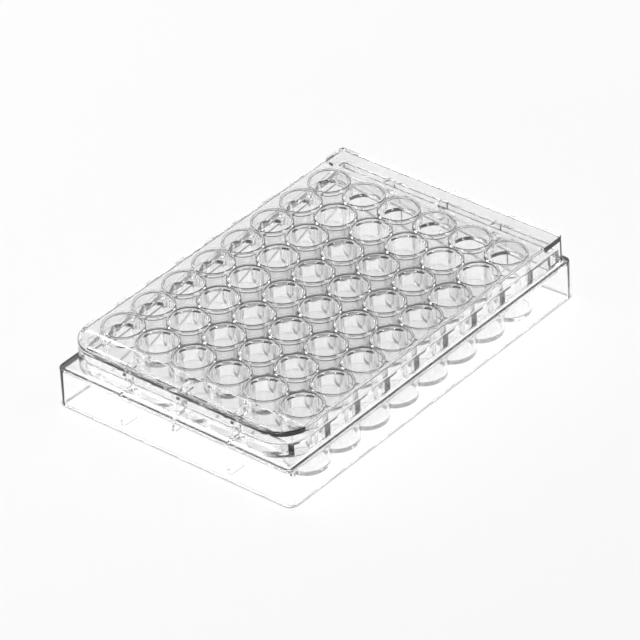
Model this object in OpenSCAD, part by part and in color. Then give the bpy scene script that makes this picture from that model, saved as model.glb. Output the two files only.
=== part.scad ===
// Forty-eight well culture plate with its lid, both moulded in clear plastic.
// Frame: origin under the middle of the plate, X along the long side towards the
// square-cornered end of the lid, Z up, everything in millimetres.

/* [Footprint] */

// Length of the plate's foot
plate_length = 127.76; // [100:0.02:155]

// Width of the plate's foot
plate_width = 85.48; // [68:0.02:105]

// Radius of the four upright corners of the skirt
skirt_corner_radius = 2.4; // [2:0.1:4]

// Height of the ledge that the lid stands on
ledge_height = 12.5; // [9:0.1:15]

// Thickness of the ledge
ledge_thickness = 1.2; // [0.9:0.1:1.6]

// Wall thickness of the skirt under the ledge
skirt_wall = 1.2; // [1:0.1:1.6]

// Wall thickness of the skirt at its foot, less because of the draft inside
foot_wall = 0.9; // [0.7:0.1:1.2]

/* [Wells] */

// Distance from one well to the next, both ways
pitch = 13.08; // [9:0.02:20]

// Plastic and air between the mouths of two neighbouring wells
well_spacing = 1.78; // [1.6:0.02:2.4]

// Wall thickness of a well
well_wall = 0.5; // [0.4:0.05:0.65]

// How much narrower a well is at its floor than at its mouth
well_taper = 0.25; // [0.1:0.05:0.5]

// Thickness of a well's floor
floor_thickness = 1.3; // [1:0.1:1.7]

// Space between the wells' floors and the bench
bench_gap = 1.3; // [1:0.1:1.7]

// How far the rims stand above the deck
rim_rise = 3.4; // [2.5:0.1:4.5]

/* [Deck] */

// Height of the deck above the ledge
deck_rise = 4.1; // [3:0.1:5]

// Thickness of the deck
deck_thickness = 1.2; // [0.9:0.1:1.6]

// Thickness of the upright walls round the deck
deck_wall = 1.2; // [0.9:0.1:1.6]

// Width of the open trough between the deck and each end wall
trough_width = 2.6; // [2:0.1:3.4]

/* [Ribs] */

// Thickness of the ribs at the two ends
rib_thickness = 1.2; // [0.9:0.1:1.6]

// Distance between neighbouring ribs
rib_spacing = 19.62; // [14:0.02:24]

// Height of the outer ribs' lower edge above the bench
rib_foot = 1; // [0.5:0.1:2]

// Height of the middle ribs' lower edge above the bench
middle_rib_foot = 7.4; // [6:0.1:8.5]

/* [Lid] */

// How far the lid's rim stands in from the plate's foot
lid_inset = 1.6; // [1.2:0.1:2]

// Thickness of the lid's wall
lid_wall = 1.2; // [0.9:0.1:1.5]

// Thickness of the lid's top
lid_top = 0.95; // [0.8:0.05:1.2]

// Bevel round the lid's top edge
lid_bevel = 0.6; // [0.4:0.05:0.75]

// Space between the rims and the underside of the lid's top
lid_gap = 0.35; // [0.3:0.05:0.6]

// Play between the lid's wall and the wall round the deck
lid_play = 0.3; // [0.2:0.05:0.5]

// Radius of the lid's two large corners
lid_corner_radius = 10.5; // [8:0.1:13]

// Radius of the lid's two nearly square corners
lid_small_radius = 2; // [1.8:0.1:2.4]

// Gap between a well's mouth and the drip ring above it
ring_offset = 0.6; // [0.5:0.05:0.75]

// Width of a drip ring
ring_width = 0.85; // [0.7:0.05:1]

// Height of a drip ring
ring_height = 0.2; // [0.15:0.01:0.25]

// Radius of the half-round notch in the middle of each short top edge of the lid
notch_radius = 1.5; // [1:0.1:2]

/* [Hidden] */

// Overlap that makes cuts come out clean
hair = 0.01;

// Sharpest corner inside a wall
least_radius = 0.4;

// Half sizes of the foot
half_length = plate_length / 2;
half_width = plate_width / 2;

// Heights of the deck, the rims and the wells' floors
deck_height = ledge_height + deck_rise;
rim_height = deck_height + rim_rise;
tube_foot = bench_gap;
well_floor = tube_foot + floor_thickness;

// Heights of the lid's underside, of its bevel and of its upper face
lid_under = rim_height + lid_gap;
lid_crown = lid_under + lid_top;
bevel_foot = lid_crown - lid_bevel;

// Distance of the wall round the deck from the edge of the foot
upper_inset = lid_inset + lid_wall + lid_play;

// Corners of the wall round the deck, inside those of the lid
upper_radius = lid_corner_radius - lid_wall - lid_play;
upper_small_radius = max(least_radius, lid_small_radius - lid_wall - lid_play);

// Ends of the deck, at the troughs
deck_half = half_length - upper_inset - deck_wall - trough_width;

// As many wells as the deck has room for
columns = floor(2 * deck_half / pitch);
rows = floor(2 * (half_width - upper_inset) / pitch);

// Diameters of a well at its mouth and at its floor, inside and outside
mouth_d = pitch - well_spacing;
floor_d = mouth_d - well_taper;
collar_d = mouth_d + 2 * well_wall;
tube_d = floor_d + 2 * well_wall;

// Diameters of the drip rings, which run into each other
ring_in_d = mouth_d + 2 * ring_offset;
ring_out_d = ring_in_d + 2 * ring_width;

// Roundness of the curves
$fn = 48;

// Names of the separate pieces

// Piece to draw

// Foot outline drawn in by a distance, with one radius for the two corners at -X
// and another for the two at +X
module outline(inset, near_radius, far_radius) {
    x = half_length - inset;
    y = half_width - inset;
    translate([-x + near_radius, -y])
        square([2 * x - near_radius - far_radius, 2 * y]);
    translate([-x, -y + near_radius])
        square([x, 2 * (y - near_radius)]);
    translate([0, -y + far_radius])
        square([x, 2 * (y - far_radius)]);
    for (side = [-1, 1]) {
        translate([-x + near_radius, side * (y - near_radius)])
            circle(r = near_radius);
        translate([x - far_radius, side * (y - far_radius)])
            circle(r = far_radius);
    }
}

// Upright solid with that outline
module block(low, high, inset, near_radius, far_radius) {
    translate([0, 0, low])
        linear_extrude(high - low)
            outline(inset, near_radius, far_radius);
}

// Solid whose sides lean: low_inset at the bottom grows or shrinks to high_inset
// at the top, and the corners are cones, with the radii given for the bottom
module leaning_block(low, high, low_inset, high_inset, near_radius, far_radius) {
    lean = high_inset - low_inset;
    x = half_length - low_inset;
    y = half_width - low_inset;
    near_x = x - near_radius;
    far_x = x - far_radius;
    translate([-near_x, 0, 0])
        rotate([90, 0, 90])
            linear_extrude(near_x + far_x)
                polygon([[-y, low], [y, low], [y - lean, high], [lean - y, high]]);
    leaning_end(low, high, near_x, x, lean, y - near_radius, -1);
    leaning_end(low, high, far_x, x, lean, y - far_radius, 1);
    for (side = [-1, 1]) {
        translate([-near_x, side * (y - near_radius), low])
            cylinder(h = high - low, r1 = near_radius, r2 = near_radius - lean);
        translate([far_x, side * (y - far_radius), low])
            cylinder(h = high - low, r1 = far_radius, r2 = far_radius - lean);
    }
}

// One end of the leaning solid, between its two corner cones
module leaning_end(low, high, inner_x, outer_x, lean, half_span, side) {
    translate([0, half_span, 0])
        rotate([90, 0, 0])
            linear_extrude(2 * half_span)
                polygon([
                    [0, low],
                    [side * outer_x, low],
                    [side * (outer_x - lean), high],
                    [0, high]
                ]);
}

// Children repeated at every well
module at_wells() {
    for (column = [0 : columns - 1])
        for (row = [0 : rows - 1])
            translate([
                (column - (columns - 1) / 2) * pitch,
                (row - (rows - 1) / 2) * pitch,
                0
            ])
                children();
}

// Skirt, drafted inside, with the ledge and the trough floors across its top
module skirt() {
    difference() {
        block(0, ledge_height, 0, skirt_corner_radius, skirt_corner_radius);
        leaning_block(
            -hair,
            ledge_height - ledge_thickness,
            foot_wall,
            skirt_wall,
            skirt_corner_radius - foot_wall,
            skirt_corner_radius - foot_wall
        );
        translate([-deck_half, upper_inset + deck_wall - half_width, 0])
            cube([
                2 * deck_half,
                2 * (half_width - upper_inset - deck_wall),
                ledge_height + hair
            ]);
    }
}

// Wall round the deck and the two troughs, standing inside the lid
module surround() {
    difference() {
        block(
            ledge_height - ledge_thickness,
            deck_height,
            upper_inset,
            upper_radius,
            upper_small_radius
        );
        block(
            ledge_height - ledge_thickness - hair,
            deck_height + hair,
            upper_inset + deck_wall,
            upper_radius - deck_wall,
            least_radius
        );
    }
}

// Deck between the wells, with the wall at each of its two ends
module deck() {
    intersection() {
        block(
            ledge_height - ledge_thickness,
            deck_height,
            upper_inset,
            upper_radius,
            upper_small_radius
        );
        difference() {
            translate([-deck_half, -half_width, 0])
                cube([2 * deck_half, plate_width, deck_height]);
            translate([deck_wall - deck_half, -half_width - hair, -hair])
                cube([
                    2 * (deck_half - deck_wall),
                    plate_width + 2 * hair,
                    deck_height - deck_thickness + hair
                ]);
        }
    }
}

// One upright rib: across the trough above the ledge, and down the skirt below it
module end_rib(side, foot) {
    inner = deck_half - deck_wall / 2;
    wall_mid = half_length - upper_inset - deck_wall / 2;
    skirt_mid = half_length - foot_wall / 2;
    ledge_mid = ledge_height - ledge_thickness / 2;
    translate([0, rib_thickness / 2, 0])
        rotate([90, 0, 0])
            linear_extrude(rib_thickness)
                polygon([
                    [side * inner, foot],
                    [side * skirt_mid, foot],
                    [side * skirt_mid, ledge_mid],
                    [side * wall_mid, ledge_mid],
                    [side * wall_mid, deck_height],
                    [side * inner, deck_height]
                ]);
}

// Three ribs at each end
module end_ribs() {
    for (side = [-1, 1]) {
        end_rib(side, middle_rib_foot);
        translate([0, rib_spacing, 0]) end_rib(side, rib_foot);
        translate([0, -rib_spacing, 0]) end_rib(side, rib_foot);
    }
}

// Outside of one well: tube with a thicker collar above the deck
module well_body() {
    translate([0, 0, tube_foot])
        cylinder(h = deck_height - tube_foot, d1 = tube_d, d2 = collar_d);
    translate([0, 0, deck_height - deck_thickness / 2])
        cylinder(h = rim_rise + deck_thickness / 2, d = collar_d);
}

// Inside of one well
module well_hollow() {
    translate([0, 0, well_floor])
        cylinder(h = rim_height - well_floor, d1 = floor_d, d2 = mouth_d);
    translate([0, 0, rim_height - hair])
        cylinder(h = 2 * hair, d = mouth_d);
}

// Plate: skirt, ledge, deck, ribs and all the wells in one moulding
module plate() {
    color([0.93, 0.95, 0.96])
        difference() {
            union() {
                skirt();
                surround();
                deck();
                end_ribs();
                at_wells() well_body();
            }
            at_wells() well_hollow();
        }
}

// Rings under the lid, one round the mouth of each well, with a star-shaped field
// left between every four
module drip_rings() {
    translate([0, 0, lid_under - ring_height])
        linear_extrude(ring_height + lid_top / 2)
            difference() {
                at_wells() circle(d = ring_out_d);
                at_wells() circle(d = ring_in_d);
            }
}

// Lid: a shallow shell with two large and two nearly square corners
module lid() {
    color([0.95, 0.96, 0.97])
        difference() {
            union() {
                difference() {
                    union() {
                        block(
                            ledge_height,
                            bevel_foot,
                            lid_inset,
                            lid_corner_radius,
                            lid_small_radius
                        );
                        leaning_block(
                            bevel_foot,
                            lid_crown,
                            lid_inset,
                            lid_inset + lid_bevel,
                            lid_corner_radius,
                            lid_small_radius
                        );
                    }
                    block(
                        ledge_height - hair,
                        lid_under,
                        lid_inset + lid_wall,
                        lid_corner_radius - lid_wall,
                        lid_small_radius - lid_wall
                    );
                }
                drip_rings();
            }
            for (side = [-1, 1])
                translate([side * (half_length - lid_inset), 0, lid_crown - lid_top / 2])
                    cylinder(h = lid_top, r = notch_radius);
        }
}

plate();
lid();
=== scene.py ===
"""Culture plate with its lid resting on it: two clear polystyrene mouldings on a white floor."""

import math

import bpy
import numpy as np
from bpy.props import FloatProperty, FloatVectorProperty, IntProperty, PointerProperty
from mathutils import Matrix, Vector


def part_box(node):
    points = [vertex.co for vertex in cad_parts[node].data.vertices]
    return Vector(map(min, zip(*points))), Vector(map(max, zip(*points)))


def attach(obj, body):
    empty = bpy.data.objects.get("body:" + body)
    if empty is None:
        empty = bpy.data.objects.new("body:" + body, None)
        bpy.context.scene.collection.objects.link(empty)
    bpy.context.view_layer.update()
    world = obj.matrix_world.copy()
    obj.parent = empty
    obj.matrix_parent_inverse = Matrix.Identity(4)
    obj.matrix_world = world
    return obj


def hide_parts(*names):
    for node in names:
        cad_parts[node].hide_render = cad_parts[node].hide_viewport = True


bl_info = {
    "name": "Culture Plate",
    "version": (1, 0, 0),
    "blender": (4, 5, 0),
    "location": "View3D > Sidebar > Culture Plate",
    "description": "Builds a clear well plate with its lid, a floor, lamps and a camera",
    "category": "Object",
}

MM = 0.001

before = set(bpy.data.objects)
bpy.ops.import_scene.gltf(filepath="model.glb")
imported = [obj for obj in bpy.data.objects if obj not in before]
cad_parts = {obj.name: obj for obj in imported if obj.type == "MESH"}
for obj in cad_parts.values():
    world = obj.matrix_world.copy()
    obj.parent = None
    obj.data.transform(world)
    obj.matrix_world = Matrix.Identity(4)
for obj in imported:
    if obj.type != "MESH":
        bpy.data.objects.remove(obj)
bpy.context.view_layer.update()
PLATE_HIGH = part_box("plate")[1]
LID_LOW, LID_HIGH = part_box("lid")

REACH = 1 * MM  # how far a cutting shape passes the surface that it cuts
CORE = 1 * MM  # radius of the flat face that closes a turned shape round its axis
LEAST_CORNER = 0.3 * MM  # least radius of an outline's corners
ROUND_STEPS = 12  # straight pieces in the ribs' round parts
SHARP = math.radians(32)  # edges that turn more than this are left sharp

POLYSTYRENE_INDEX = 1.59
SHADOW_CLEARNESS = 0.97  # share of the lamps' light that a surface lets through to the floor
HAZE_SCALE, HAZE_DETAIL = 90.0, 3.0
LOW_HAZE, HIGH_HAZE = 0.3, 0.7  # noise values between which the roughness changes
LEAST_ROUGHNESS, MOST_ROUGHNESS = 0.01, 0.035

# Painted shade: ambient occlusion darkens the floor's colour under whatever stands on it.
PAINTED_SHADE_SAMPLES = 16  # fineness of the dark line under what stands on the floor

# Places on the room's ramp, which runs from 0 straight down over 0.5, level, to 1 straight up.
FLOOR_EDGE, HORIZON, WALLS, CEILING = 0.49, 0.51, 0.65, 0.85

FLOOR_HALF = 3.0  # half the floor's width, in metres, as the lamps' places and width are
LAMP_WIDTH = 0.8
KEY_PLACE, FILL_PLACE = (-0.5, 0.9, 1.1), (0.9, -0.6, 1.0)
BOUNCES, GLOSSY_BOUNCES, CLEAR_BOUNCES = 16, 8, 32  # how many surfaces light is followed through

AZIMUTH, ELEVATION, ROLL = -0.852236, 0.600820, -0.055865  # the camera's, in radians
AIM = Vector((154.925, 134.687, -130.887))  # point on the camera's axis, in mm
DISTANCE = 1581.679  # from that point back to the camera, in mm
SENSOR = 36.0  # width of the camera's sensor, in mm
LENS = 263.3956875  # focal length, in mm
FARTHEST = 20.0  # how far the camera sees, in metres


def length_of(value_mm, name, description):
    """A length that a user may change, given here in millimetres."""
    return FloatProperty(
        name=name, description=description, default=value_mm * MM, min=0.0, unit="LENGTH", precision=5
    )


def share_of(value, name, description):
    """A share between 0 and 1 that a user may change."""
    return FloatProperty(
        name=name, description=description, default=value, min=0.0, max=1.0, subtype="FACTOR"
    )


def power_of(value, name, description):
    """A lamp's power in watts that a user may change."""
    return FloatProperty(name=name, description=description, default=value, min=0.0, unit="POWER")


def linear(value):
    """Linear colour of an sRGB hex value: c / 12.92 up to 0.04045, else ((c + 0.055) / 1.055) ^ 2.4."""
    c = np.array([int(value.lstrip("#")[k : k + 2], 16) for k in (0, 2, 4)]) / 255
    c = np.where(c <= 0.04045, c / 12.92, ((c + 0.055) / 1.055) ** 2.4)
    return (*c.tolist(), 1.0)


def colour_of(value, name, description):
    """A colour that a user may change, given here as an sRGB hex value."""
    return FloatVectorProperty(
        name=name, description=description, default=linear(value), size=4, subtype="COLOR", min=0.0, max=1.0
    )


class PlateSizes(bpy.types.PropertyGroup):
    """Sizes of the plate: skirt, ledge, decks, troughs, ribs and wells"""

    foot_radius: length_of(2.4, "Foot corner", "Radius of the skirt's four upright corners")
    ledge: length_of(12.5, "Ledge height", "Height of the ledge that the lid stands on")
    ledge_thickness: length_of(1.2, "Ledge thickness", "Thickness of the ledge and trough floors")
    skirt_wall: length_of(1.6, "Skirt wall", "Thickness of the skirt under the ledge")
    foot_wall: length_of(1.3, "Foot wall", "Thickness of the skirt at its foot")
    deck: length_of(16.6, "Low deck height", "Height of the deck outside the wells")
    deck_thickness: length_of(1.2, "Low deck thickness", "Thickness of the deck outside the wells")
    high_deck: length_of(19.0, "High deck height", "Height of the deck between the wells")
    high_deck_thickness: length_of(0.7, "High deck thickness", "Thickness of the deck between the wells")
    upper_inset: length_of(3.1, "Upper inset", "How far the wall round the deck stands in")
    upper_wall: length_of(1.2, "Upper wall", "Thickness of the walls round both decks")
    trough: length_of(2.6, "Trough width", "Width of the trough at each end of the deck")
    pitch: length_of(13.08, "Pitch", "Distance from one well to the next")
    mouth: length_of(11.3, "Mouth", "Inner diameter of a well at its rim")
    floor_width: length_of(11.05, "Floor width", "Inner diameter of a well at its floor")
    well_wall: length_of(0.8, "Well wall", "Wall thickness of a well")
    rim_round: length_of(0.25, "Rim rounding", "Radius of the edges of a well's rim")
    well_floor: length_of(2.6, "Well floor", "Height of the wells' floors")
    tube_foot: length_of(1.3, "Tube foot", "Height of the wells' undersides")
    rib: length_of(1.2, "Rib thickness", "Thickness of the six end ribs")
    rib_spacing: length_of(19.62, "Rib spacing", "Distance from one rib to the next")
    rib_foot: length_of(1.0, "Rib foot", "Height of the outer ribs' lower edge")
    middle_rib_foot: length_of(7.4, "Middle rib foot", "Height of the middle ribs' lower edge")
    crest_rise: length_of(2.3, "Crest rise", "How far the ribs' crests rise above the low deck")
    crest_reach: length_of(2.7, "Crest reach", "How far the crests reach in over the low deck")
    crest_radius: length_of(3.0, "Crest radius", "Radius of the crests' round shoulders")
    columns: IntProperty(name="Columns", description="Wells along the length", default=8, min=1)
    rows: IntProperty(name="Rows", description="Wells across the width", default=6, min=1)
    edge: length_of(0.3, "Edge rounding", "Radius of the moulded edges")


class LidSizes(bpy.types.PropertyGroup):
    """Sizes of the lid: shell, corners, drip rings and gate notches"""

    inset: length_of(1.6, "Inset", "How far the lid's rim stands in from the foot")
    wall: length_of(1.2, "Wall", "Thickness of the lid's wall")
    top: length_of(0.95, "Top", "Thickness of the lid's top")
    crown: length_of(0.35, "Crown rounding", "Radius of the lid's top edge")
    inner_round: length_of(0.3, "Inner rounding", "Radius inside the lid where its wall meets its top")
    thick_end: length_of(2.0, "Thick end", "Thickness of the lid's top at its two short ends")
    clearance: length_of(1.2, "End clearance", "Gap between a thick end and the nearest well's rim")
    rest_gap: length_of(0.03, "Rest gap", "Film of air between the lid's rim and the ledge")
    near_radius: length_of(10.5, "Large corners", "Radius of the two large corners")
    far_radius: length_of(2.0, "Small corners", "Radius of the two small corners")
    ring_in: length_of(12.5, "Ring inner width", "Inner diameter of a drip ring")
    ring_out: length_of(14.2, "Ring outer width", "Outer diameter of a drip ring")
    ring_height: length_of(0.2, "Ring height", "Height of a drip ring")
    notch: length_of(1.5, "Notch", "Radius of the gate notch in each short edge")


class Finish(bpy.types.PropertyGroup):
    """Colours of the two mouldings"""

    plate_tint: colour_of("#FEFEFE", "Plate tint", "Body colour of the plate's polystyrene")
    lid_tint: colour_of("#FEFEFE", "Lid tint", "Body colour of the lid's polystyrene")


class StageSettings(bpy.types.PropertyGroup):
    """Colours and strengths of the floor, the surroundings and the lamps"""

    floor: colour_of("#F3F3F3", "Floor", "Colour of the floor's paper")
    backdrop: colour_of("#FFFFFF", "Backdrop", "Colour of the backdrop and of the paper that stands for it")
    share: share_of(0.45, "Backdrop share", "How much of the floor is seen as backdrop and not as lit paper")
    sweep: length_of(600.0, "Sweep", "Distance at which the floor has turned into backdrop")
    # Painted shade: these two set how dark and how far ambient occlusion darkens the floor's colour under
    # what stands on it.
    painted_shade_depth: share_of(0.92, "Contact depth", "How dark the floor is where something touches it")
    painted_shade_reach: length_of(0.8, "Contact", "Reach of the dark line under what stands on the floor")
    floor_gap: length_of(0.02, "Floor gap", "Film of air between the plate's foot and the floor")
    horizon: colour_of("#9C9C9C", "Horizon", "Colour of the surroundings at the horizon")
    walls: colour_of("#6C6C6C", "Walls", "Colour of the surroundings above the horizon")
    ceiling: colour_of("#BCBCBC", "Ceiling", "Colour of the surroundings overhead")
    key: power_of(14.0, "Key lamp", "Power of the lamp behind the plate")
    fill: power_of(7.0, "Fill lamp", "Power of the lamp to the plate's right")


# ---------------------------------------------------------------- surfaces


def round_corners(points, radii, steps=4, closed=False):
    """Profile whose corners are arcs. An arc of radius r starts r / tan(a / 2) before a corner of
    angle a, and turns about the point on the bisector at r / sin(a / 2). Columns after the first
    two ride along with their corner."""
    points = np.asarray(points, float)
    radii = np.asarray(radii, float) * np.ones(len(points))
    flat, extra = points[:, :2], points[:, 2:]
    before, after = np.roll(flat, 1, 0) - flat, np.roll(flat, -1, 0) - flat
    before /= np.linalg.norm(before, axis=1)[:, None]
    after /= np.linalg.norm(after, axis=1)[:, None]
    if not closed:
        radii[[0, -1]] = 0.0
    half = np.arccos(np.clip((before * after).sum(1), -1, 1)) / 2
    bisector = before + after
    bisector /= np.maximum(np.linalg.norm(bisector, axis=1), 1e-12)[:, None]
    centre = flat + bisector * (radii / np.sin(half))[:, None]
    start = flat + before * (radii / np.tan(half))[:, None] - centre
    sign = np.sign(before[:, 0] * after[:, 1] - before[:, 1] * after[:, 0])
    turn = -sign[:, None] * (math.pi - 2 * half)[:, None] * np.linspace(0, 1, steps + 1)
    x = start[:, 0, None] * np.cos(turn) - start[:, 1, None] * np.sin(turn) + centre[:, 0, None]
    y = start[:, 0, None] * np.sin(turn) + start[:, 1, None] * np.cos(turn) + centre[:, 1, None]
    rows = np.dstack([x, y, np.repeat(extra[:, None, :], steps + 1, 1)]).reshape(-1, points.shape[1])
    keep = np.linalg.norm(np.diff(rows[:, :2], axis=0, prepend=rows[:1, :2] + 1), axis=1) > 1e-7
    return rows[keep]


def outline(inset, near, far, steps=16):
    """Foot outline drawn in by inset: four quarter circles joined by straight sides. x is the
    corner centre's x plus radius times cosine of the turn, y the same with the sine. The corner
    radius is near or far at inset 0, less the inset. One row of points for each inset."""
    inset = np.asarray(inset, float)[:, None]
    turn = (np.array([-1, 0, 1, 2])[:, None] + np.linspace(0, 1, steps + 1)).ravel() * math.pi / 2
    side_x = np.repeat([1.0, 1.0, -1.0, -1.0], steps + 1)
    side_y = np.repeat([-1.0, 1.0, 1.0, -1.0], steps + 1)
    radius = np.where(side_x > 0, np.asarray(far)[:, None], np.asarray(near)[:, None]) - inset
    radius = np.maximum(radius, LEAST_CORNER)
    x = side_x * (PLATE_HIGH.x - inset - radius) + radius * np.cos(turn)
    y = side_y * (PLATE_HIGH.y - inset - radius) + radius * np.sin(turn)
    return x, y


def skin(grid, closed=False):
    """Vertices, quads and end caps of a grid of rings: ring k joins ring k + 1, and either the
    last joins the first or the first and last ring are each closed by one flat face."""
    rings, around = grid.shape[:2]
    index = np.arange(rings * around).reshape(rings, around)
    if closed:
        index = np.vstack([index, index[:1]])
    a, b = index[:-1], index[1:]
    quads = np.stack([a, np.roll(a, -1, 1), np.roll(b, -1, 1), b], -1).reshape(-1, 4)
    caps = [] if closed else [index[0][::-1], index[-1]]
    return grid.reshape(-1, 3), quads, caps


def swept(profile, closed=False, steps=16):
    """Solid made by carrying a profile round the foot outline. The profile's rows are inset,
    height, and the outline's near and far corner radii at inset 0."""
    x, y = outline(profile[:, 0], profile[:, 2], profile[:, 3], steps)
    return skin(np.dstack([x, y, np.broadcast_to(profile[:, 1, None], x.shape)]), closed)


def revolved(profile, steps=64):
    """Solid of revolution: radius times the cosine and sine of the turn, at the profile's
    height, with a flat face at each end."""
    turn = np.linspace(0, 2 * math.pi, steps, endpoint=False)
    radius, height = profile[:, 0, None], profile[:, 1, None]
    return skin(np.dstack([radius * np.cos(turn), radius * np.sin(turn), height + 0 * turn]))


def prism(profile, low, high, along="y"):
    """Solid with one upright cross-section, carried level from low to high: an x-z profile goes
    along y, and a y-z profile goes along x."""
    ends = np.array([low, high])[:, None]
    across, z = profile[:, 0] + 0 * ends, profile[:, 1] + 0 * ends
    level = ends + 0 * across
    return skin(np.dstack([across, level, z] if along == "y" else [level, across, z]))


def cuboid(x, y, low, high):
    """Solid box that reaches x and y to both sides of the middle, from low to high."""
    return prism(np.array([(-x, low), (x, low), (x, high), (-x, high)]), -y, y)


def repeated(shape, places):
    """The same shape at every place, as one mesh."""
    points, quads, caps = shape
    step = len(points) * np.arange(len(places))
    return (
        (points + np.asarray(places)[:, None, :]).reshape(-1, 3),
        (quads + step[:, None, None]).reshape(-1, 4),
        [cap + k for k in step for cap in caps],
    )


def solid(name, shape):
    """Object with that closed surface, its faces turned outwards."""
    points, quads, caps = shape
    mesh = bpy.data.meshes.new(name)
    mesh.from_pydata(points.tolist(), [], quads.tolist() + [list(map(int, c)) for c in caps])
    mesh.validate()
    piece = bpy.data.objects.new(name, mesh)
    bpy.context.scene.collection.objects.link(piece)
    if signed_volume(mesh) < 0:
        mesh.flip_normals()
    return piece


def signed_volume(mesh):
    """Volume inside the surface, negative where its faces point inwards."""
    mesh.calc_loop_triangles()
    count = len(mesh.loop_triangles)
    corners = np.empty(count * 3, np.int32)
    mesh.loop_triangles.foreach_get("vertices", corners)
    points = np.empty(len(mesh.vertices) * 3)
    mesh.vertices.foreach_get("co", points)
    p = points.reshape(-1, 3)[corners.reshape(-1, 3)]
    return float(np.einsum("ij,ij->i", p[:, 0], np.cross(p[:, 1], p[:, 2])).sum() / 6)


def worked(piece, operation, other):
    """piece joined with, cut by or limited to other, which is used up."""
    step = piece.modifiers.new("solid", "BOOLEAN")
    step.operation, step.object, step.solver = operation, other, "MANIFOLD"
    graph = bpy.context.evaluated_depsgraph_get()
    mesh = bpy.data.meshes.new_from_object(piece.evaluated_get(graph))
    piece.modifiers.clear()
    piece.data = mesh
    bpy.data.objects.remove(other)
    if not mesh.polygons:
        raise RuntimeError(f"{piece.name}: {operation} left nothing")
    return piece


def finished(piece, node, material):
    """Smooth shading between true edges, the material, and the piece's place in the frame."""
    mesh = piece.data
    mesh.polygons.foreach_set("use_smooth", np.ones(len(mesh.polygons), bool))
    mesh.set_sharp_from_angle(angle=SHARP)
    weighted = piece.modifiers.new("even shading", "WEIGHTED_NORMAL")
    weighted.keep_sharp = True
    mesh.materials.clear()
    mesh.materials.append(material)
    mesh.name = piece.name
    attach(piece, "root")
    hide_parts(node)
    return piece


# ---------------------------------------------------------------- materials


def add(tree, kind, settings=(), **inputs):
    """Node of a kind, with its settings, and each input given a value or a link from a socket."""
    node = tree.nodes.new(kind)
    for name, value in dict(settings).items():
        setattr(node, name, value)
    for name, value in inputs.items():
        socket = node.inputs[int(name[1:])] if name[1:].isdigit() else node.inputs[name.replace("_", " ")]
        if isinstance(value, bpy.types.NodeSocket):
            tree.links.new(value, socket)
        else:
            socket.default_value = value
    return node


def empty_tree(owner):
    """The owner's node tree with nothing in it."""
    owner.use_nodes = True
    owner.node_tree.nodes.clear()
    return owner.node_tree


def clear_polystyrene(name, tint):
    """General-purpose polystyrene, injection moulded against polished steel: refractive index 1.59,
    so every edge draws a line, and surfaces are smooth enough to mirror the lamps, with a faint
    haze that comes and goes as the melt flowed."""
    material = bpy.data.materials.new(name)
    tree = empty_tree(material)
    place = add(tree, "ShaderNodeTexCoord")
    haze = add(
        tree,
        "ShaderNodeTexNoise",
        Vector=place.outputs["Object"],
        Scale=HAZE_SCALE,
        Detail=HAZE_DETAIL,
    )
    polish = add(
        tree,
        "ShaderNodeMapRange",
        Value=haze.outputs[0],
        From_Min=LOW_HAZE,
        From_Max=HIGH_HAZE,
        To_Min=LEAST_ROUGHNESS,
        To_Max=MOST_ROUGHNESS,
    )
    plastic = add(
        tree,
        "ShaderNodeBsdfPrincipled",
        Base_Color=tint,
        Roughness=polish.outputs[0],
        IOR=POLYSTYRENE_INDEX,
        Transmission_Weight=1.0,
    )
    through = add(tree, "ShaderNodeBsdfTransparent", Color=(*[SHADOW_CLEARNESS] * 3, 1.0))
    path = add(tree, "ShaderNodeLightPath")
    mix = add(
        tree,
        "ShaderNodeMixShader",
        _0=path.outputs["Is Shadow Ray"],
        _1=plastic.outputs[0],
        _2=through.outputs[0],
    )
    add(tree, "ShaderNodeOutputMaterial", Surface=mix.outputs[0])
    return material


def matt_white_paper_with_painted_shade(look):
    """Matt white paper that runs up into the backdrop: part of it is seen as backdrop, the rest as
    paper that takes shadows, and painted shade darkens it in the thin gap under whatever stands on it."""
    material = bpy.data.materials.new("matt_white_paper_with_painted_shade")
    tree = empty_tree(material)
    path = add(tree, "ShaderNodeLightPath").outputs
    # Painted shade: ambient occlusion darkens the paper's colour and the backdrop's glow close under
    # whatever stands on the floor.
    fineness = {"samples": PAINTED_SHADE_SAMPLES}
    gap = add(tree, "ShaderNodeAmbientOcclusion", fineness, Distance=look.painted_shade_reach).outputs["Color"]
    darkened = {"data_type": "RGBA", "blend_type": "MULTIPLY"}
    colour = add(tree, "ShaderNodeMix", darkened, _0=look.painted_shade_depth, _6=look.floor, _7=gap)
    glow = add(tree, "ShaderNodeMix", darkened, _0=look.painted_shade_depth, _6=look.backdrop, _7=gap)
    paper = add(tree, "ShaderNodeBsdfDiffuse", Color=colour.outputs[2])
    backdrop = add(tree, "ShaderNodeEmission", Color=glow.outputs[2])
    larger, times = {"operation": "MAXIMUM"}, {"operation": "MULTIPLY"}
    either = add(tree, "ShaderNodeMath", larger, _0=path["Is Camera Ray"], _1=path["Is Glossy Ray"])
    seen = add(tree, "ShaderNodeMath", larger, _0=either.outputs[0], _1=path["Is Transmission Ray"])
    place = add(tree, "ShaderNodeTexCoord")
    away = add(tree, "ShaderNodeVectorMath", {"operation": "LENGTH"}, _0=place.outputs["Object"])
    first, last = look.sweep / 4, look.sweep
    rising = add(
        tree,
        "ShaderNodeMapRange",
        Value=away.outputs["Value"],
        From_Min=first,
        From_Max=last,
        To_Min=look.share,
        To_Max=1.0,
    )
    share = add(tree, "ShaderNodeMath", times, _0=seen.outputs[0], _1=rising.outputs[0])
    mix = add(tree, "ShaderNodeMixShader", _0=share.outputs[0], _1=paper.outputs[0], _2=backdrop.outputs[0])
    add(tree, "ShaderNodeOutputMaterial", Surface=mix.outputs[0])
    return material


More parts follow.
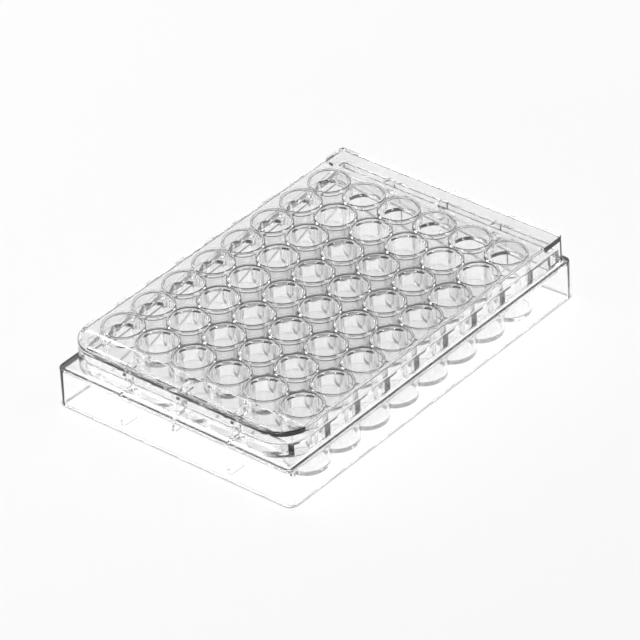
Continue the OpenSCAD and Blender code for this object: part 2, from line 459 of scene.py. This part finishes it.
def surroundings(look):
    """Studio round the plate: white backdrop for the camera, and for the plastic a room whose
    colour runs from the floor's light up past the horizon and the walls to the ceiling."""
    world = bpy.data.worlds.new("studio")
    tree = empty_tree(world)
    path = add(tree, "ShaderNodeLightPath")
    place = add(tree, "ShaderNodeTexCoord")
    height = add(tree, "ShaderNodeSeparateXYZ", Vector=place.outputs["Generated"])
    level = add(tree, "ShaderNodeMapRange", Value=height.outputs["Z"], From_Min=-1.0, From_Max=1.0)
    room = add(tree, "ShaderNodeValToRGB", Fac=level.outputs[0])
    ramp = room.color_ramp
    ramp.elements[0].position, ramp.elements[0].color = 0.0, look.backdrop
    ramp.elements[1].position, ramp.elements[1].color = 1.0, look.ceiling
    for stop, shade in (
        (FLOOR_EDGE, look.backdrop),
        (HORIZON, look.horizon),
        (WALLS, look.walls),
        (CEILING, look.ceiling),
    ):
        ramp.elements.new(stop).color = shade
    seen = add(
        tree,
        "ShaderNodeMix",
        {"data_type": "RGBA"},
        _0=path.outputs["Is Camera Ray"],
        _6=room.outputs["Color"],
        _7=look.backdrop,
    )
    light = add(tree, "ShaderNodeBackground", Color=seen.outputs[2], Strength=1.0)
    add(tree, "ShaderNodeOutputWorld", Surface=light.outputs[0])
    return world


# ---------------------------------------------------------------- pieces


def field_of(sizes):
    """Half length and half width of the field whose corners are the middles of the corner wells."""
    return (sizes.columns - 1) / 2 * sizes.pitch, (sizes.rows - 1) / 2 * sizes.pitch


def well_places(sizes):
    """Centres of the wells, in rows and columns about the middle."""
    x = (np.arange(sizes.columns) - (sizes.columns - 1) / 2) * sizes.pitch
    y = (np.arange(sizes.rows) - (sizes.rows - 1) / 2) * sizes.pitch
    grid = np.stack(np.meshgrid(x, y, indexing="ij"), -1).reshape(-1, 2)
    return np.c_[grid, np.zeros(len(grid))]


def skirt_and_walls(s, lid):
    """Skirt, ledge and the wall that stands inside the lid, as one profile carried round."""
    e, foot = s.edge, s.foot_radius
    foot_edge, under_edge = 0.1 * MM, 0.6 * MM
    near, far = lid.near_radius + lid.inset, lid.far_radius + lid.inset
    wall_in, under_ledge = s.upper_inset + s.upper_wall, s.ledge - s.ledge_thickness
    ring = round_corners(
        [
            (0, 0, foot, foot),
            (0, s.ledge, foot, foot),
            (s.upper_inset, s.ledge, near, far),
            (s.upper_inset, s.deck, near, far),
            (wall_in, s.deck, near, far),
            (wall_in, under_ledge, near, far),
            (s.skirt_wall, under_ledge, foot, foot),
            (s.foot_wall, 0, foot, foot),
        ],
        [foot_edge, e, e, e, e, e, under_edge, foot_edge],
        closed=True,
    )
    return solid("plate_moulding", swept(ring, closed=True))


def low_deck(s, lid, ends):
    """Deck outside the wells with the troughs' floors and inner walls: one profile carried along
    y, limited to the wall round it and open over the wells."""
    e, wall_x, block_x = s.edge, ends["wall"], ends["block"]
    wall_y = PLATE_HIGH.y - s.upper_inset - s.upper_wall / 2
    under_ledge, under_deck = s.ledge - s.ledge_thickness, s.deck - s.deck_thickness
    side = np.array(
        [
            (wall_x, under_ledge, 0),
            (wall_x, s.ledge, 0),
            (block_x, s.ledge, e),
            (block_x, s.deck, e),
            (-block_x, s.deck, e),
            (-block_x, s.ledge, e),
            (-wall_x, s.ledge, 0),
            (-wall_x, under_ledge, 0),
            (s.upper_wall - block_x, under_ledge, e),
            (s.upper_wall - block_x, under_deck, e),
            (block_x - s.upper_wall, under_deck, e),
            (block_x - s.upper_wall, under_ledge, e),
        ]
    )
    tray = solid("tray", prism(round_corners(side[:, :2], side[:, 2], closed=True), -wall_y, wall_y))
    near, far = lid.near_radius + lid.inset, lid.far_radius + lid.inset
    mid = s.upper_inset + s.upper_wall / 2
    limit = np.array([(mid, under_ledge - REACH, near, far), (mid, s.deck + REACH, near, far)])
    tray = worked(tray, "INTERSECT", solid("limit", swept(limit)))
    field = cuboid(*field_of(s), under_deck - REACH, s.deck + REACH)
    return worked(tray, "DIFFERENCE", solid("field", field))


def high_deck(s):
    """Deck between the wells, and the wall under its edge down to the low deck."""
    x, y = (half + s.upper_wall / 2 for half in field_of(s))
    low = s.deck - s.deck_thickness
    deck = solid("high_deck", cuboid(x, y, low, s.high_deck))
    ceiling = s.high_deck - s.high_deck_thickness
    inside = cuboid(x - s.upper_wall, y - s.upper_wall, low - REACH, ceiling)
    return worked(deck, "DIFFERENCE", solid("inside", inside))


def rib(s, ends, foot, side, y):
    """Upright rib at one end: an x-z profile whose crest has one round shoulder, and a bar with a
    round lower edge along its foot."""
    low = foot + s.rib / 2
    heel, inner = ends["block"] - s.crest_reach, ends["block"] - s.upper_wall / 2
    outer, wall = PLATE_HIGH.x - s.foot_wall / 2, ends["wall"]
    ledge_mid, deck_mid = s.ledge - s.ledge_thickness / 2, s.deck - s.deck_thickness / 2
    crest, crest_edge = s.deck + s.crest_rise, 0.2 * MM
    profile = round_corners(
        [
            (inner, low),
            (outer, low),
            (outer, ledge_mid),
            (wall, ledge_mid),
            (wall, crest),
            (heel, crest),
            (heel, deck_mid),
            (inner, deck_mid),
        ],
        [0, 0, 0, 0, s.crest_radius, crest_edge, 0, 0],
        steps=ROUND_STEPS,
        closed=True,
    )
    half = s.rib / 2
    upright = prism(profile * (side, 1), y - half, y + half)
    turn = np.linspace(math.pi, 2 * math.pi, ROUND_STEPS + 1)
    under = np.c_[half * np.cos(turn), low + half * np.sin(turn)]
    bar = np.r_[under, [(half, low + half), (-half, low + half)]]
    start, stop = sorted((side * inner, side * outer))
    rib_edge = solid("rib_edge", prism(bar + (y, 0), start, stop, along="x"))
    return worked(solid("rib", upright), "UNION", rib_edge)


class CULTURE_OT_plate(bpy.types.Operator):
    """Build the plate: one moulding with skirt, ledge, decks, troughs, ribs and wells"""

    bl_idname = "culture.plate"
    bl_label = "Plate"

    def execute(self, context):
        s = context.scene.culture_plate
        lid = context.scene.culture_lid
        wall_x = PLATE_HIGH.x - s.upper_inset - s.upper_wall / 2
        ends = {"wall": wall_x, "block": wall_x - s.upper_wall / 2 - s.trough}
        piece = skirt_and_walls(s, lid)
        piece = worked(piece, "UNION", low_deck(s, lid, ends))
        piece = worked(piece, "UNION", high_deck(s))
        for side in (-1, 1):
            piece = worked(piece, "UNION", rib(s, ends, s.middle_rib_foot, side, 0))
            for y in (-s.rib_spacing, s.rib_spacing):
                piece = worked(piece, "UNION", rib(s, ends, s.rib_foot, side, y))
        rim, mouth, base = PLATE_HIGH.z, s.mouth / 2, s.floor_width / 2
        collar, tube = mouth + s.well_wall, base + s.well_wall
        tube_edge, floor_edge, lip_rise = 0.5 * MM, 0.3 * MM, 0.02 * MM
        body = round_corners(
            [(CORE, s.tube_foot), (tube, s.tube_foot), (collar, s.deck), (collar, rim), (CORE, rim)],
            [0, tube_edge, 0, s.rim_round, 0],
        )
        lip = mouth + 2 * s.rim_round
        hollow = round_corners(
            [
                (CORE, s.well_floor),
                (base, s.well_floor),
                (mouth, rim),
                (lip, rim + lip_rise),
                (lip, rim + REACH),
                (CORE, rim + REACH),
            ],
            [0, floor_edge, s.rim_round, 0, 0, 0],
        )
        places = well_places(s)
        piece = worked(piece, "UNION", solid("tubes", repeated(revolved(body), places)))
        piece = worked(piece, "DIFFERENCE", solid("hollows", repeated(revolved(hollow), places)))
        look = context.scene.culture_finish
        finished(piece, "plate", clear_polystyrene("moulded_clear_polystyrene_plate", look.plate_tint))
        return {"FINISHED"}


def thick_end(s, plate, side):
    """Thicker strip under the lid's top at one short end: a box carried along y and limited to
    the inside of the lid's wall."""
    near, far, high = s.near_radius + s.inset, s.far_radius + s.inset, LID_HIGH.z
    outer = LID_HIGH.x - s.wall / 2
    inner = field_of(plate)[0] + plate.mouth / 2 + plate.well_wall + s.clearance
    low, top = high - s.thick_end, high - s.top / 2
    section = np.array([(inner, low), (outer, low), (outer, top), (inner, top)]) * (side, 1)
    strip = solid("thick_end", prism(section, -PLATE_HIGH.y, PLATE_HIGH.y))
    mid = s.inset + s.wall / 2
    limit = np.array([(mid, low - REACH, near, far), (mid, high, near, far)])
    return worked(strip, "INTERSECT", solid("inside", swept(limit)))


class CULTURE_OT_lid(bpy.types.Operator):
    """Build the lid: a shallow shell with drip rings under its top and a notch in each short edge"""

    bl_idname = "culture.lid"
    bl_label = "Lid"

    def execute(self, context):
        s = context.scene.culture_lid
        plate = context.scene.culture_plate
        near, far = s.near_radius + s.inset, s.far_radius + s.inset
        low, high = LID_LOW.z + s.rest_gap, LID_HIGH.z
        middle, lean, rim_edge = 12 * MM, 0.15 * MM, 0.25 * MM
        shell = round_corners(
            [
                (middle, high, near, far),
                (s.inset + lean, high, near, far),
                (s.inset, low, near, far),
                (s.inset + s.wall, low, near, far),
                (s.inset + s.wall, high - s.top, near, far),
                (middle, high - s.top, near, far),
            ],
            [0, s.crown, rim_edge, rim_edge, s.inner_round, 0],
            steps=8,
        )
        piece = solid("lid_moulding", swept(shell))
        for side in (-1, 1):
            piece = worked(piece, "UNION", thick_end(s, plate, side))
        places = well_places(plate)
        under = high - s.top
        ring_out, ring_in = s.ring_out / 2, s.ring_in / 2
        disc = np.array([(ring_out, under - s.ring_height), (ring_out, under + s.top / 2)])
        # Neighbouring rings overlap, so every second one of every second row is joined at a time.
        index = np.round((places[:, :2] - places[0, :2]) / plate.pitch).astype(int)
        for group in range(4):
            mine = places[(index[:, 0] % 2) * 2 + index[:, 1] % 2 == group]
            piece = worked(piece, "UNION", solid("rings", repeated(revolved(disc), mine)))
        inner = np.array([(ring_in, under - REACH), (ring_in, under)])
        piece = worked(piece, "DIFFERENCE", solid("insides", repeated(revolved(inner), places)))
        notch = np.array([(s.notch, high - s.top / 2), (s.notch, high + REACH)])
        ends = [(side * (PLATE_HIGH.x - s.inset), 0, 0) for side in (-1, 1)]
        piece = worked(piece, "DIFFERENCE", solid("notches", repeated(revolved(notch), ends)))
        look = context.scene.culture_finish
        finished(piece, "lid", clear_polystyrene("moulded_clear_polystyrene_lid", look.lid_tint))
        return {"FINISHED"}


def viewpoint():
    """Camera that stands off from the aim in the direction of the azimuth and the elevation, looks
    back at it, and is turned by the roll about its own line of sight."""
    level = math.cos(ELEVATION)
    back = Vector((math.sin(AZIMUTH) * level, -math.cos(AZIMUTH) * level, math.sin(ELEVATION)))
    right = Vector((math.cos(AZIMUTH), math.sin(AZIMUTH), 0))
    up = back.cross(right)
    side = right * math.cos(ROLL) + up * math.sin(ROLL)
    top = up * math.cos(ROLL) - right * math.sin(ROLL)
    lens = bpy.data.cameras.new("camera")
    lens.sensor_width, lens.lens = SENSOR, LENS
    lens.clip_end = FARTHEST
    camera = bpy.data.objects.new("camera", lens)
    place = Matrix.Translation((AIM + back * DISTANCE) * MM)
    camera.matrix_world = place @ Matrix((side, top, back)).transposed().to_4x4()
    return camera


class CULTURE_OT_stage(bpy.types.Operator):
    """Set up the floor, the surroundings, the lamps and the camera"""

    bl_idname = "culture.stage"
    bl_label = "Stage"

    def execute(self, context):
        scene = context.scene
        look = scene.culture_stage
        floor = bpy.data.meshes.new("floor")
        corners = [(x * FLOOR_HALF, y * FLOOR_HALF, 0) for x, y in ((-1, -1), (1, -1), (1, 1), (-1, 1))]
        floor.from_pydata(corners, [], [(0, 1, 2, 3)])
        piece = bpy.data.objects.new("floor", floor)
        piece.location.z = -look.floor_gap
        scene.collection.objects.link(piece)
        floor.materials.append(matt_white_paper_with_painted_shade(look))
        scene.world = surroundings(look)

        for name, place, power in (("key", KEY_PLACE, look.key), ("fill", FILL_PLACE, look.fill)):
            lamp = bpy.data.lights.new(name, "AREA")
            lamp.shape, lamp.size, lamp.energy = "SQUARE", LAMP_WIDTH, power
            holder = bpy.data.objects.new(name, lamp)
            holder.location = place
            holder.rotation_euler = (-Vector(place)).to_track_quat("-Z", "Y").to_euler()
            scene.collection.objects.link(holder)

        scene.camera = viewpoint()
        scene.collection.objects.link(scene.camera)
        scene.view_settings.view_transform = "Standard"
        paths = scene.cycles
        paths.max_bounces = paths.transmission_bounces = BOUNCES
        paths.glossy_bounces, paths.transparent_max_bounces = GLOSSY_BOUNCES, CLEAR_BOUNCES
        return {"FINISHED"}


class CULTURE_PT_panel(bpy.types.Panel):
    """The plate's sizes and the buttons that build it"""

    bl_label = "Culture Plate"
    bl_idname = "CULTURE_PT_panel"
    bl_space_type = "VIEW_3D"
    bl_region_type = "UI"
    bl_category = "Culture Plate"

    def draw(self, context):
        for operator in OPERATORS:
            self.layout.operator(operator.bl_idname)
        scene = context.scene
        for group in (scene.culture_plate, scene.culture_lid, scene.culture_finish, scene.culture_stage):
            box = self.layout.box()
            for name in group.__annotations__:
                box.prop(group, name)


OPERATORS = (CULTURE_OT_plate, CULTURE_OT_lid, CULTURE_OT_stage)
CLASSES = (PlateSizes, LidSizes, Finish, StageSettings, *OPERATORS, CULTURE_PT_panel)


def register():
    """Makes the add-on's classes and settings known."""
    for kind in CLASSES:
        bpy.utils.register_class(kind)
    bpy.types.Scene.culture_plate = PointerProperty(type=PlateSizes)
    bpy.types.Scene.culture_lid = PointerProperty(type=LidSizes)
    bpy.types.Scene.culture_finish = PointerProperty(type=Finish)
    bpy.types.Scene.culture_stage = PointerProperty(type=StageSettings)


def unregister():
    """Takes them away again."""
    for name in ("culture_plate", "culture_lid", "culture_finish", "culture_stage"):
        delattr(bpy.types.Scene, name)
    for kind in reversed(CLASSES):
        bpy.utils.unregister_class(kind)


def main():
    """Builds every piece and the stage."""
    register()
    bpy.ops.culture.stage()
    bpy.ops.culture.plate()
    bpy.ops.culture.lid()


if __name__ == "__main__":
    main()
